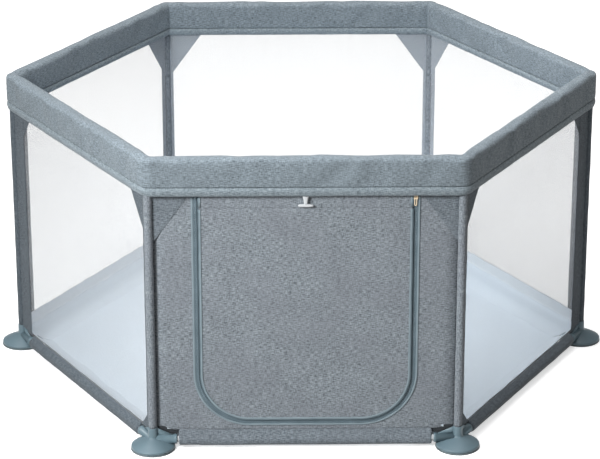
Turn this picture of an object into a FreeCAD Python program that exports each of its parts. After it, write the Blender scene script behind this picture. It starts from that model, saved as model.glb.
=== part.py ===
import FreeCAD, Part
import Sketcher
import os
import re

# Hexagonal fabric playpen: a plug-together tube frame on six suction feet, with a padded top rail,
# five mesh walls, a cloth front wall with a zipped door, and a floor sheet.
# +Z is up, the front wall faces -Y and the origin is on the floor under the middle of the pen.

os.makedirs("parts", exist_ok=True)
doc = FreeCAD.newDocument("playpen")

# ---------------------------------------------------------------- driving dimensions, in millimetres
SIZES = {
    "leg_circle_radius": 680,  # centre of the pen to the centre of a leg
    "pen_height": 690,  # floor to the top of the padded rail
    "tube_outer_radius": 8,
    "tube_wall": 1,
    "socket_wall": 2.3,
    "socket_clearance": 0.15,  # radial, tube in socket
    "socket_reach": 54,  # leg axis to the mouth of a side socket
    "socket_depth": 30,  # how far a rail tube goes into its socket
    "leg_socket_depth": 24,
    "tube_end_gap": 0.2,
    "bottom_tube_height": 22,
    "top_tube_drop": 20,  # rail top down to the top tube's axis
    "base_boss_height": 50,
    "saucer_radius": 49,
    "saucer_rim": 2.5,
    "saucer_crown_height": 24,
    "saucer_crown_radius": 12,
    "saucer_wall": 3,
    "screw_post_radius": 6,
    "cup_lip": 1,  # how far the suction cup stands out past the saucer
    "cup_thickness": 4,
    "cup_ring_width": 10,
    "cup_recess_depth": 1.5,
    "screw_radius": 2,
    "screw_head_radius": 4,
    "screw_head_height": 1.2,
    "screw_length": 12,
    "rib_thickness": 3,
    "rib_length": 20,
    "rail_half_width": 17,
    "rail_pad_height": 67,
    "rail_round": 12,
    "rail_hem_height": 20,
    "rail_hem_half_width": 14,
    "rail_hem_leg_gap": 12,  # leg axis to the end of a rail hem
    "mitre_gap": 0.2,
    "corner_shelf": 2,  # bottom of the rail pad up to the bottom of the corner joint
    "sewn_gap": 0.2,  # between cloth pieces, and between cloth and frame
    "wall_inset": 3,  # wall cloth inside the line between two legs
    "mesh_thickness": 1.2,
    "sleeve_thickness": 1.1,
    "hem_top": 44,
    "hem_bottom": 7,
    "hem_lip": 2,  # cloth beyond the bottom tube
    "hem_socket_gap": 3,  # mouth of a side socket to the end of a bottom hem
    "gusset_width": 80,
    "gusset_height": 110,
    "gusset_thickness": 0.8,
    "mat_thickness": 4,
    "mat_edge_inset": 4,
    "mat_foot_gap": 6,  # edge of a suction cup to the cut corner of the floor sheet
    "panel_thickness": 1.6,
    "zip_half_width": 237,  # middle of the door to the line of the zip
    "zip_bottom": 64,
    "zip_top_drop": 3,  # bottom of the rail down to the top of the doorway
    "zip_corner_radius": 115,
    "coil_width": 5,
    "coil_thickness": 2.6,
    "coil_gap": 0.3,
    "flap_gap": 6.5,  # line of the zip to the edge of the door flap
    "flap_offset": 3,  # front panel's face to the back of the flap
    "header_drop": 31.5,  # bottom of the rail down to the seam that the door hangs from
    "flap_top_gap": 0.5,
    "slider_width": 11,
    "slider_height": 10,
    "slider_wall": 1.7,
    "slider_top_gap": 1,  # end of the zip down to the slider
    "ear_thickness": 1.2,
    "ear_gap": 2,  # middle of the slider to the inner face of an ear
    "ear_depth": 4,
    "pull_pin_radius": 0.8,
    "pull_pin_gap": 0.05,
    "pull_length": 19,
    "pull_thickness": 1.2,
    "toggle_stand_off": 9,  # line between the front legs out to the toggle
    "toggle_hinge_drop": 1.5,
    "toggle_stem_thickness": 1.8,
    "toggle_stem_width": 9,
    "toggle_stem_length": 18.4,
    "toggle_bar_width": 34,
    "toggle_bar_height": 7,
    "toggle_bar_thickness": 5,
}
sheet = doc.addObject("Spreadsheet::Sheet", "Sheet")
for row, (alias, value) in enumerate(SIZES.items(), start=1):
    sheet.set(f"A{row}", alias)
    sheet.set(f"B{row}", str(value))
    sheet.setAlias(f"B{row}", alias)
doc.recompute()


def size(text):
    """An expression with each name of the sheet written as the cell it stands for."""
    return re.sub("[a-z_]+", lambda w: f"Sheet.{w[0]}" if w[0] in SIZES else w[0], text)


# lengths that several pieces share, as expressions of the sheet
APOTHEM = "( leg_circle_radius * cos( 30 deg ) )"
SOCKET_BORE = "( tube_outer_radius + socket_clearance )"
SOCKET_OUTER = "( tube_outer_radius + socket_clearance + socket_wall )"
TOP_TUBE = "( pen_height - top_tube_drop )"
PAD_BOTTOM = "( pen_height - rail_pad_height )"
RAIL_BOTTOM = "( pen_height - rail_pad_height - rail_hem_height )"
CUP_RADIUS = "( saucer_radius + cup_lip )"
FOOT_CLEAR = f"( {CUP_RADIUS} + mat_foot_gap )"
HEM_NOTCH = f"max( socket_reach + hem_socket_gap ; {FOOT_CLEAR} )"
ZIP_TOP = f"( {RAIL_BOTTOM} - zip_top_drop )"
HEADER_BOTTOM = f"( {RAIL_BOTTOM} - header_drop )"
LEG_BOTTOM = "( base_boss_height - leg_socket_depth )"
CORNER_BOTTOM = "( pen_height - rail_pad_height + corner_shelf )"
LEG_TOP = f"( {CORNER_BOTTOM} + leg_socket_depth )"
SLEEVE_INNER = "( tube_outer_radius + sewn_gap )"
SLEEVE_OUTER = "( tube_outer_radius + sewn_gap + sleeve_thickness )"
TUBE_START = "( socket_reach - socket_depth + tube_end_gap )"
WALL_LINE = f"( {APOTHEM} - wall_inset )"
PANEL_FACE = f"( {WALL_LINE} + panel_thickness / 2 )"
FLAP_BACK = f"( {PANEL_FACE} + flap_offset )"
SHEET_END = f"( leg_circle_radius / 2 - {SOCKET_OUTER} - sewn_gap )"
SLIDER_DEPTH = "( coil_thickness + 2 * coil_gap + 2 * slider_wall )"
SLIDER_TOP = f"( {ZIP_TOP} - slider_top_gap )"
SLIDER_FACE = f"( {WALL_LINE} + {SLIDER_DEPTH} / 2 )"
PULL_AXIS = f"( {SLIDER_FACE} + ear_depth * 0.6 )"
PULL_HEIGHT = f"( {SLIDER_TOP} - slider_height * 0.45 )"
TOGGLE_LINE = f"( {APOTHEM} + toggle_stand_off )"
TOGGLE_HINGE = f"( {RAIL_BOTTOM} - toggle_hinge_drop )"

SIDES = ["front", "front_right", "back_right", "back", "back_left", "front_left"]
CORNERS = ["right", "back_right", "back_left", "left", "front_left", "front_right"]
TURN = 60  # degrees from one side or corner to the next
ARM_ANGLES = (120, 240)  # from a leg towards the legs beside it

pieces = []  # the objects that are written out, one file each


def turned(angle):
    """The placement of a piece turned about the middle of the pen."""
    return FreeCAD.Placement(
        FreeCAD.Vector(0, 0, 0), FreeCAD.Rotation(FreeCAD.Vector(0, 0, 1), angle)
    )


def bind(obj, **sizes):
    """Binds properties of an object to expressions of the sheet."""
    for name, text in sizes.items():
        obj.setExpression(name, size(text))


def place(obj, x="0", y="0", z="0"):
    """Binds where a primitive stands in its body."""
    for axis, text in zip("xyz", (x, y, z)):
        obj.setExpression(f"Placement.Base.{axis}", size(text))


def new_body(name, angle=0, piece=True):
    body = doc.addObject("PartDesign::Body", name)
    body.Label = name
    body.Placement = turned(angle)
    if piece:
        pieces.append(body)
    return body


def origin_plane(body, role):
    return next(f for f in body.Origin.OriginFeatures if f.Role == role)


def new_sketch(body, name, plane="XY_Plane", height=None):
    """A sketch on one of the body's own planes, lifted along its normal by height."""
    sketch = body.newObject("Sketcher::SketchObject", name)
    sketch.AttachmentSupport = (origin_plane(body, plane), [""])
    sketch.MapMode = "FlatFace"
    if height:
        sketch.setExpression("AttachmentOffset.Base.z", size(height))
    return sketch


def number(text):
    """The value that an expression of the sheet has now."""
    return float(sheet.evalExpression(size(text)))


def polygon(sketch, points):
    """A closed outline, each corner bound to a pair of expressions."""
    spots = [FreeCAD.Vector(number(u), number(v), 0) for u, v in points]
    first = sketch.GeometryCount
    for i, spot in enumerate(spots):
        sketch.addGeometry(Part.LineSegment(spot, spots[(i + 1) % len(spots)]))
    for i, (u, v) in enumerate(points):
        before = first + (i - 1) % len(points)
        sketch.addConstraint(Sketcher.Constraint("Coincident", before, 2, first + i, 1))
        for kind, text in (("DistanceX", u), ("DistanceY", v)):
            index = sketch.addConstraint(
                Sketcher.Constraint(kind, -1, 1, first + i, 1, number(text))
            )
            sketch.setExpression(f"Constraints[{index}]", size(text))


def circle(sketch, u, v, radius):
    """A circle with its centre and radius bound to expressions."""
    centre = FreeCAD.Vector(number(u), number(v), 0)
    line = FreeCAD.Vector(0, 0, 1)
    geo = sketch.addGeometry(Part.Circle(centre, line, number(radius)))
    for kind, text in (("DistanceX", u), ("DistanceY", v)):
        index = sketch.addConstraint(Sketcher.Constraint(kind, -1, 1, geo, 3, number(text)))
        sketch.setExpression(f"Constraints[{index}]", size(text))
    index = sketch.addConstraint(Sketcher.Constraint("Radius", geo, number(radius)))
    sketch.setExpression(f"Constraints[{index}]", size(radius))


def pad(body, sketch, length, midplane=False):
    feature = body.newObject("PartDesign::Pad", sketch.Name + "_pad")
    feature.Profile = sketch
    feature.Midplane = midplane
    bind(feature, Length=length)
    body.Tip = feature
    return feature


def cylinder(body, kind, name, radius, height, x, y, z, direction=(0, 0, 1)):
    """A PartDesign cylinder, kind Additive or Subtractive, along a direction."""
    feature = body.newObject(f"PartDesign::{kind}Cylinder", name)
    bind(feature, Radius=radius, Height=height)
    up = FreeCAD.Vector(0, 0, 1)
    feature.Placement.Rotation = FreeCAD.Rotation(up, FreeCAD.Vector(*direction))
    place(feature, x, y, z)
    return feature


def cone(body, kind, name, radius_low, radius_high, height, x, z):
    feature = body.newObject(f"PartDesign::{kind}Cone", name)
    bind(feature, Radius1=radius_low, Radius2=radius_high, Height=height)
    place(feature, x, "0", z)
    return feature


def box(body, kind, name, low, high):
    """A PartDesign box between two corners, each given as three expressions."""
    feature = body.newObject(f"PartDesign::{kind}Box", name)
    spans = [f"( {b} ) - ( {a} )" for a, b in zip(low, high)]
    bind(feature, Length=spans[0], Width=spans[1], Height=spans[2])
    place(feature, *low)
    return feature


def compass(angle):
    """The level direction at an angle."""
    turn = FreeCAD.Rotation(FreeCAD.Vector(0, 0, 1), angle)
    return tuple(turn.multVec(FreeCAD.Vector(1, 0, 0)))


def compound(name, members):
    """One node that holds like pieces as separate solids."""
    group = doc.addObject("Part::Compound", name)
    group.Label = name
    group.Links = members
    pieces.append(group)
    return group


# ---------------------------------------------------------------- tube frame
def leg_tube(corner, angle):
    body = new_body(f"leg_tube_{corner}", angle)
    sketch = new_sketch(body, f"leg_ring_{corner}", height=f"{LEG_BOTTOM} + tube_end_gap")
    circle(sketch, "leg_circle_radius", "0", "tube_outer_radius")
    circle(sketch, "leg_circle_radius", "0", "tube_outer_radius - tube_wall")
    pad(body, sketch, f"{LEG_TOP} - {LEG_BOTTOM} - 2 * tube_end_gap")


def side_tube(name, side, angle, height):
    """A tube between two corners, along the side."""
    body = new_body(f"{name}_{side}", angle)
    sketch = new_sketch(body, f"{name}_ring_{side}", "YZ_Plane")
    circle(sketch, f"0 - {APOTHEM}", height, "tube_outer_radius")
    circle(sketch, f"0 - {APOTHEM}", height, "tube_outer_radius - tube_wall")
    pad(body, sketch, f"leg_circle_radius - 2 * {TUBE_START}", midplane=True)


def side_sockets(body, height):
    """Two socket arms from the leg towards its neighbours, still without their bores."""
    for i, angle in enumerate(ARM_ANGLES):
        cylinder(
            body, "Additive", f"{body.Name}_arm_{i}", SOCKET_OUTER, "socket_reach",
            "leg_circle_radius", "0", height, compass(angle),
        )


def bore_sockets(body, height):
    """The bores that the side tubes plug into."""
    start = "( socket_reach - socket_depth )"
    for i, angle in enumerate(ARM_ANGLES):
        x = f"leg_circle_radius + {start} * cos({angle} deg)"
        y = f"{start} * sin({angle} deg)"
        cylinder(
            body, "Subtractive", f"{body.Name}_bore_{i}", SOCKET_BORE, "socket_depth + 1",
            x, y, height, compass(angle),
        )


def top_corner(corner, angle):
    body = new_body(f"top_corner_{corner}", angle)
    cylinder(
        body, "Additive", f"top_boss_{corner}", SOCKET_OUTER,
        f"{TOP_TUBE} + {SOCKET_OUTER} - {CORNER_BOTTOM}",
        "leg_circle_radius", "0", CORNER_BOTTOM,
    )
    side_sockets(body, TOP_TUBE)
    cylinder(
        body, "Subtractive", f"top_leg_bore_{corner}", SOCKET_BORE, "leg_socket_depth",
        "leg_circle_radius", "0", CORNER_BOTTOM,
    )
    bore_sockets(body, TOP_TUBE)


def base_rib(body, corner, angle, index):
    """A web from the boss down to a side socket."""
    sketch = new_sketch(body, f"rib_{corner}_{index}", "XZ_Plane")
    low = "bottom_tube_height"
    reach = "( saucer_crown_radius + rib_length )"
    sketch.Placement = FreeCAD.Placement()
    polygon(sketch, [("0", low), (reach, low), ("0", f"{low} + {reach} * 0.8")])
    sketch.AttachmentSupport = (origin_plane(body, "XZ_Plane"), [""])
    sketch.AttachmentOffset.Rotation = FreeCAD.Rotation(FreeCAD.Vector(0, 1, 0), -angle)
    sketch.setExpression("AttachmentOffset.Base.x", size("leg_circle_radius"))
    pad(body, sketch, "rib_thickness", midplane=True)


def base_connector(corner, angle):
    """The moulded foot: a saucer with a boss for the leg and two side sockets."""
    body = new_body(f"base_connector_{corner}", angle)
    x = "leg_circle_radius"
    rim_top = "( cup_thickness + saucer_rim )"
    cylinder(
        body, "Additive", f"saucer_rim_{corner}", "saucer_radius", "saucer_rim",
        x, "0", "cup_thickness",
    )
    cone(
        body, "Additive", f"saucer_{corner}", "saucer_radius", "saucer_crown_radius",
        f"saucer_crown_height - {rim_top}", x, rim_top,
    )
    cylinder(
        body, "Additive", f"base_boss_{corner}", SOCKET_OUTER,
        f"base_boss_height - {rim_top}", x, "0", rim_top,
    )
    side_sockets(body, "bottom_tube_height")
    for i, arm in enumerate(ARM_ANGLES):
        base_rib(body, corner, arm, i)
    cone(
        body, "Subtractive", f"saucer_hollow_{corner}", "saucer_radius - saucer_wall",
        "saucer_crown_radius - saucer_wall",
        "bottom_tube_height - socket_wall - tube_outer_radius - cup_thickness",
        x, "cup_thickness",
    )
    cylinder(
        body, "Additive", f"screw_post_{corner}", "screw_post_radius",
        "bottom_tube_height - cup_thickness", x, "0", "cup_thickness",
    )
    cylinder(
        body, "Subtractive", f"base_leg_bore_{corner}", SOCKET_BORE,
        "leg_socket_depth + 1", x, "0", LEG_BOTTOM,
    )
    bore_sockets(body, "bottom_tube_height")
    cylinder(
        body, "Subtractive", f"screw_hole_{corner}", "screw_radius + socket_clearance",
        "screw_length", x, "0", "cup_thickness",
    )


def suction_cup(corner, angle):
    """The soft cup under the foot, hollow below so that it grips a smooth floor."""
    body = new_body(f"suction_cup_{corner}", angle)
    x = "leg_circle_radius"
    cylinder(body, "Additive", f"cup_{corner}", CUP_RADIUS, "cup_thickness", x, "0", "0")
    cone(
        body, "Subtractive", f"cup_recess_{corner}", f"{CUP_RADIUS} - cup_ring_width",
        "screw_head_radius + 1", "cup_recess_depth", x, "0",
    )
    cylinder(
        body, "Subtractive", f"cup_hole_{corner}", "screw_radius + socket_clearance",
        "cup_thickness + 1", x, "0", "0",
    )


def foot_screw(corner, angle):
    """The screw that holds the cup to the foot, from below."""
    body = new_body(f"foot_screw_{corner}", angle, piece=False)
    x = "leg_circle_radius"
    head = "( cup_recess_depth - screw_head_height )"
    cylinder(
        body, "Additive", f"screw_head_{corner}", "screw_head_radius",
        "screw_head_height", x, "0", head,
    )
    cylinder(
        body, "Additive", f"screw_shank_{corner}", "screw_radius",
        f"screw_length - {head}", x, "0", head,
    )
    return body


# ---------------------------------------------------------------- padded rail, sleeves and hems
def rail_pad(side, angle):
    """One side of the padded rail: a foam-lined cover, open below, mitred at the corners."""
    body = new_body(f"rail_pad_{side}", angle)
    sketch = new_sketch(body, f"pad_outline_{side}", height=PAD_BOTTOM)
    corners = []
    for across, ends in (("+", (-1, 1)), ("-", (1, -1))):
        line = f"( {APOTHEM} {across} rail_half_width )"
        for end in ends:
            corners.append((f"{end} * ( {line} * tan( 30 deg ) - mitre_gap )", f"0 - {line}"))
    polygon(sketch, corners)
    solid = pad(body, sketch, "rail_pad_height")
    doc.recompute()
    top = number("pen_height")
    edges = [
        f"Edge{i}" for i, edge in enumerate(solid.Shape.Edges, start=1)
        if all(abs(v.Z - top) < 0.01 for v in edge.Vertexes)
        and abs(edge.Vertexes[0].Y - edge.Vertexes[1].Y) < 0.01
    ]
    rounded = body.newObject("PartDesign::Fillet", f"pad_round_{side}")
    rounded.Base = (solid, edges)
    bind(rounded, Radius="rail_round")
    body.Tip = rounded
    inside = f"( {SOCKET_OUTER} + sewn_gap )"
    box(
        body, "Subtractive", f"pad_hollow_{side}",
        ("0 - leg_circle_radius", f"0 - {APOTHEM} - {inside}", f"{PAD_BOTTOM} - 1"),
        ("leg_circle_radius", f"{inside} - {APOTHEM}", f"{TOP_TUBE} + {inside}"),
    )


def rail_hem(side, angle):
    """The rolled hem under the rail that the wall hangs from."""
    body = new_body(f"rail_hem_{side}", angle, piece=False)
    end = "( leg_circle_radius / 2 - rail_hem_leg_gap )"
    box(
        body, "Additive", f"rail_hem_bar_{side}",
        (f"0 - {end}", f"0 - {APOTHEM} - rail_hem_half_width", RAIL_BOTTOM),
        (end, f"rail_hem_half_width - {APOTHEM}", f"{PAD_BOTTOM} - sewn_gap"),
    )
    return body


def leg_sleeve(corner, angle):
    """The cloth sleeve round a leg, from the foot up to the rail."""
    body = new_body(f"leg_sleeve_{corner}", angle, piece=False)
    start = "( base_boss_height + sewn_gap )"
    sketch = new_sketch(body, f"sleeve_ring_{corner}", height=start)
    circle(sketch, "leg_circle_radius", "0", SLEEVE_OUTER)
    circle(sketch, "leg_circle_radius", "0", SLEEVE_INNER)
    pad(body, sketch, f"{RAIL_BOTTOM} - {start} - sewn_gap")
    return body


def bottom_hem(side, angle):
    """The channel along the bottom of a wall that the bottom tube runs through."""
    body = new_body(f"bottom_hem_{side}", angle, piece=False)
    sketch = new_sketch(body, f"hem_outline_{side}", "YZ_Plane")
    wide = "( tube_outer_radius + hem_lip )"
    low = f"bottom_tube_height - {wide}"
    high = f"bottom_tube_height + {wide}"
    outline = [
        (f"0 - {APOTHEM} - {wide}", low), (f"0 - {APOTHEM} - {wide}", high),
        (f"0 - {WALL_LINE} - hem_lip", "hem_top"), (f"hem_lip - {WALL_LINE}", "hem_top"),
        (f"{wide} - {APOTHEM}", high), (f"{wide} - {APOTHEM}", low),
        (f"2 * hem_lip - {APOTHEM}", "hem_bottom"), (f"0 - {APOTHEM} - 2 * hem_lip", "hem_bottom"),
    ]
    polygon(sketch, outline)
    circle(sketch, f"0 - {APOTHEM}", "bottom_tube_height", SLEEVE_INNER)
    pad(body, sketch, f"leg_circle_radius - 2 * {HEM_NOTCH}", midplane=True)
    return body


# ---------------------------------------------------------------- walls and floor
WALL_LOW = "( hem_top + sewn_gap )"
WALL_HIGH = f"( {RAIL_BOTTOM} - sewn_gap )"


def mesh_wall(side, angle):
    body = new_body(f"mesh_wall_{side}", angle)
    box(
        body, "Additive", f"mesh_{side}",
        (f"0 - {SHEET_END}", f"0 - {WALL_LINE} - mesh_thickness / 2", WALL_LOW),
        (SHEET_END, f"mesh_thickness / 2 - {WALL_LINE}", WALL_HIGH),
    )


def gusset(side, angle, hand):
    """A cloth triangle on the outside of a mesh wall's top corner, hand -1 or 1."""
    label = "left" if hand < 0 else "right"
    body = new_body(f"gusset_{side}_{label}", angle, piece=False)
    face = f"( {WALL_LINE} + mesh_thickness / 2 + sewn_gap / 2 )"
    sketch = new_sketch(body, f"gusset_outline_{side}_{label}", "XZ_Plane", height=face)
    outline = [
        (f"{hand} * {SHEET_END}", WALL_HIGH),
        (f"{hand} * ( {SHEET_END} - gusset_width )", WALL_HIGH),
        (f"{hand} * {SHEET_END}", f"{WALL_HIGH} - gusset_height"),
    ]
    polygon(sketch, outline)
    pad(body, sketch, "gusset_thickness")
    return body


def floor_mat():
    """The floor sheet: a hexagon with its corners cut off clear of the feet."""
    body = new_body("floor_mat")
    top = "( hem_bottom - sewn_gap )"
    sketch = new_sketch(body, "mat_outline", height=f"{top} - mat_thickness")
    line = f"( {APOTHEM} - mat_edge_inset )"
    cut = f"( leg_circle_radius - {FOOT_CLEAR} )"
    # each cut corner crosses a side where the side's line meets the cut's line
    half = f"( ( {cut} - {line} * cos( 30 deg ) ) / sin( 30 deg ) )"
    outline = []
    for k in range(6):
        for end in (-1, 1):
            a = f"{TURN * k} deg"
            outline.append((
                f"{end} * {half} * cos({a}) + {line} * sin({a})",
                f"{end} * {half} * sin({a}) - {line} * cos({a})",
            ))
    polygon(sketch, outline)
    pad(body, sketch, "mat_thickness")


# ---------------------------------------------------------------- front wall, door and zip
def round_bottom(body, solid, name, half_width, bottom, radius):
    """Rounds the two upright-plane corners at the bottom of a door-shaped plate or hole."""
    doc.recompute()
    edges = []
    for i, edge in enumerate(solid.Shape.Edges, start=1):
        a, b = edge.Vertexes[0].Point, edge.Vertexes[-1].Point
        across = abs(a.x - b.x) < 0.01 and abs(a.z - b.z) < 0.01
        if across and abs(abs(a.x) - half_width) < 0.01 and abs(a.z - bottom) < 0.01:
            edges.append(f"Edge{i}")
    rounded = body.newObject("PartDesign::Fillet", name)
    rounded.Base = (solid, edges)
    bind(rounded, Radius=radius)
    body.Tip = rounded
    return rounded


def door_size(offset):
    """Half the width and the bottom of an outline at a distance outside the zip's line."""
    return f"( zip_half_width + {offset} )", f"( zip_bottom - {offset} )"


def door_box(body, kind, name, offset, low_y, high_y, top):
    half, bottom = door_size(offset)
    return box(body, kind, name, (f"0 - {half}", low_y, bottom), (half, high_y, top))


def round_door(body, solid, name, offset):
    """Rounds the bottom corners of the outline at a distance outside the zip's line."""
    half, bottom = (number(text) for text in door_size(offset))
    return round_bottom(body, solid, name, half, bottom, f"zip_corner_radius + {offset}")


def front_panel():
    """The cloth front wall with the doorway, and the seam ridge that the door hangs from."""
    body = new_body("front_panel")
    back = f"panel_thickness / 2 - {WALL_LINE}"
    box(
        body, "Additive", "panel_sheet",
        (f"0 - {SHEET_END}", f"0 - {PANEL_FACE}", WALL_LOW), (SHEET_END, back, WALL_HIGH),
    )
    edge = "( coil_width / 2 + coil_gap )"
    front = f"0 - {PANEL_FACE} - 1"
    hole = door_box(body, "Subtractive", "doorway", edge, front, f"{back} + 1", ZIP_TOP)
    round_door(body, hole, "doorway_round", edge)
    half = "( zip_half_width - flap_gap )"
    box(
        body, "Additive", "door_header",
        (f"0 - {half}", f"0 - {FLAP_BACK} - panel_thickness", HEADER_BOTTOM),
        (half, back, WALL_HIGH),
    )


def door_flap():
    body = new_body("door_flap")
    edge = "( 0 - flap_gap )"
    plate = door_box(
        body, "Additive", "flap", edge, f"0 - {FLAP_BACK} - panel_thickness",
        f"0 - {FLAP_BACK}", f"( {HEADER_BOTTOM} - flap_top_gap )",
    )
    round_door(body, plate, "flap_round", edge)


def zip_track():
    """The zip's coil, a U round the door."""
    body = new_body("zip_track")
    low = f"0 - {WALL_LINE} - coil_thickness / 2"
    high = f"coil_thickness / 2 - {WALL_LINE}"
    outer, inner = "( coil_width / 2 )", "( 0 - coil_width / 2 )"
    door_box(body, "Additive", "coil_outer", outer, low, high, f"{ZIP_TOP} - coil_gap")
    strip = door_box(
        body, "Subtractive", "coil_inner", inner, f"{low} - 1", f"{high} + 1", f"{ZIP_TOP} + 1"
    )
    strip = round_door(body, strip, "coil_inner_round", inner)
    round_door(body, strip, "coil_outer_round", outer)


def zip_slider():
    """The slider: a channel that rides on the coil, with two ears for the pull."""
    body = new_body("zip_slider")
    x, half = "zip_half_width", "slider_width / 2"
    bottom = f"{SLIDER_TOP} - slider_height"
    box(
        body, "Additive", "slider_block",
        (f"{x} - {half}", f"0 - {SLIDER_FACE}", bottom),
        (f"{x} + {half}", f"{SLIDER_DEPTH} / 2 - {WALL_LINE}", SLIDER_TOP),
    )
    room = "( coil_thickness / 2 + coil_gap )"
    box(
        body, "Subtractive", "slider_channel",
        (f"{x} - coil_width / 2 - coil_gap", f"0 - {WALL_LINE} - {room}", f"{bottom} - 1"),
        (f"{x} + {half} + 1", f"{room} - {WALL_LINE}", f"{SLIDER_TOP} + 1"),
    )
    for hand, label in ((-1, "left"), (1, "right")):
        inner, outer = f"{hand} * ear_gap", f"{hand} * ( ear_gap + ear_thickness )"
        low, high = (outer, inner) if hand < 0 else (inner, outer)
        box(
            body, "Additive", f"ear_{label}",
            (f"{x} + {low}", f"0 - {SLIDER_FACE} - ear_depth", f"{PULL_HEIGHT} - 2"),
            (f"{x} + {high}", f"0 - {SLIDER_FACE} + slider_wall / 2", f"{PULL_HEIGHT} + 2"),
        )
    cylinder(
        body, "Subtractive", "ear_bore", "pull_pin_radius + pull_pin_gap", "slider_width",
        f"{x} - {half}", f"0 - {PULL_AXIS}", PULL_HEIGHT, (1, 0, 0),
    )


def zip_pull():
    """The pull tab on its cross pin."""
    body = new_body("zip_pull")
    x, half = "zip_half_width", "pull_thickness / 2"
    near, far = f"0 - {PULL_AXIS} - {half}", f"{half} - {PULL_AXIS}"
    end = "( ear_gap + ear_thickness )"
    cylinder(
        body, "Additive", "pull_pin", "pull_pin_radius", f"2 * {end}",
        f"{x} - {end}", f"0 - {PULL_AXIS}", PULL_HEIGHT, (1, 0, 0),
    )
    neck = "( ear_gap - sewn_gap )"
    box(
        body, "Additive", "pull_neck",
        (f"{x} - {neck}", near, f"{PULL_HEIGHT} - pull_length * 0.4"),
        (f"{x} + {neck}", far, f"{PULL_HEIGHT} + {half}"),
    )
    tab = "( ear_gap + ear_thickness )"
    box(
        body, "Additive", "pull_tab",
        (f"{x} - {tab}", near, f"{PULL_HEIGHT} - pull_length"),
        (f"{x} + {tab}", far, f"{PULL_HEIGHT} - pull_length * 0.35"),
    )


def toggle():
    """The T-shaped toggle under the rail that holds the rolled-up door."""
    stem, bar = new_body("toggle_stem"), new_body("toggle_bar")
    half = "toggle_stem_thickness / 2"
    low = f"( {TOGGLE_HINGE} - toggle_stem_length )"
    box(
        stem, "Additive", "stem_plate",
        ("0 - toggle_stem_width / 2", f"0 - {TOGGLE_LINE} - {half}", low),
        ("toggle_stem_width / 2", f"{half} - {TOGGLE_LINE}", f"{TOGGLE_HINGE} + {half}"),
    )
    deep = "toggle_bar_thickness / 2"
    box(
        bar, "Additive", "bar_block",
        ("0 - toggle_bar_width / 2", f"0 - {TOGGLE_LINE} - {deep}", f"{low} - toggle_bar_height"),
        ("toggle_bar_width / 2", f"{deep} - {TOGGLE_LINE}", low),
    )


# ---------------------------------------------------------------- the assembly
for number_of_turns, corner_name in enumerate(CORNERS):
    leg_tube(corner_name, TURN * number_of_turns)
    top_corner(corner_name, TURN * number_of_turns)
    base_connector(corner_name, TURN * number_of_turns)
    suction_cup(corner_name, TURN * number_of_turns)
for number_of_turns, side_name in enumerate(SIDES):
    side_tube("top_tube", side_name, TURN * number_of_turns, TOP_TUBE)
    side_tube("bottom_tube", side_name, TURN * number_of_turns, "bottom_tube_height")
    rail_pad(side_name, TURN * number_of_turns)
for number_of_turns, side_name in list(enumerate(SIDES))[1:]:
    mesh_wall(side_name, TURN * number_of_turns)

compound("foot_screws", [foot_screw(c, TURN * i) for i, c in enumerate(CORNERS)])
compound("leg_sleeves", [leg_sleeve(c, TURN * i) for i, c in enumerate(CORNERS)])
compound("rail_hems", [rail_hem(s, TURN * i) for i, s in enumerate(SIDES)])
compound("bottom_hems", [bottom_hem(s, TURN * i) for i, s in enumerate(SIDES)])
walls = list(enumerate(SIDES))[1:]
compound("corner_gussets", [gusset(s, TURN * i, hand) for i, s in walls for hand in (-1, 1)])
floor_mat()
front_panel()
door_flap()
zip_track()
zip_slider()
zip_pull()
toggle()

doc.recompute()
for obj in doc.Objects:
    bad = [state for state in obj.State if state in ("Invalid", "Error")]
    if bad:
        raise RuntimeError(f"{obj.Name}: {bad}")
for piece in pieces:
    if piece.Shape.isNull() or not piece.Shape.isValid() or not piece.Shape.Solids:
        raise RuntimeError(f"{piece.Label} has no valid solid")
for piece in pieces:
    piece.Shape.exportStep(f"parts/{piece.Label}.step")
    print(piece.Label, len(piece.Shape.Solids), round(piece.Shape.Volume))
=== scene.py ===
import math

import bmesh
import bpy
from mathutils import Matrix, Vector, noise


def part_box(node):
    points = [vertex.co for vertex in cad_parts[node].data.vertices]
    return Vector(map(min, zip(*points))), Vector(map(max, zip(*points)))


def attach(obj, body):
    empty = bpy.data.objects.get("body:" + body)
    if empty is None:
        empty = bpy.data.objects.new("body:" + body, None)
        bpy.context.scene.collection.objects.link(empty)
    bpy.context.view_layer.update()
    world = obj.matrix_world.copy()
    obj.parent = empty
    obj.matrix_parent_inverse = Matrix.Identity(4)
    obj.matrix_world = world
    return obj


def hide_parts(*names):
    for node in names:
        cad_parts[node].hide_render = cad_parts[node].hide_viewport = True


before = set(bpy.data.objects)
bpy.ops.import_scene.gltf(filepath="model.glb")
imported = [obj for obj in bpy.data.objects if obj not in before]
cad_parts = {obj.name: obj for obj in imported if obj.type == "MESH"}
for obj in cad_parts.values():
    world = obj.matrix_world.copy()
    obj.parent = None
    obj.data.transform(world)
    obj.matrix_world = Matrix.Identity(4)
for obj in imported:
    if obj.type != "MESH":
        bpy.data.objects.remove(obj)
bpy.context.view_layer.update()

sideNames = ["front", "front_right", "back_right", "back", "back_left", "front_left"]
cornerNames = ["right", "back_right", "back_left", "left", "front_left", "front_right"]
turnStep = math.radians(60)

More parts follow.
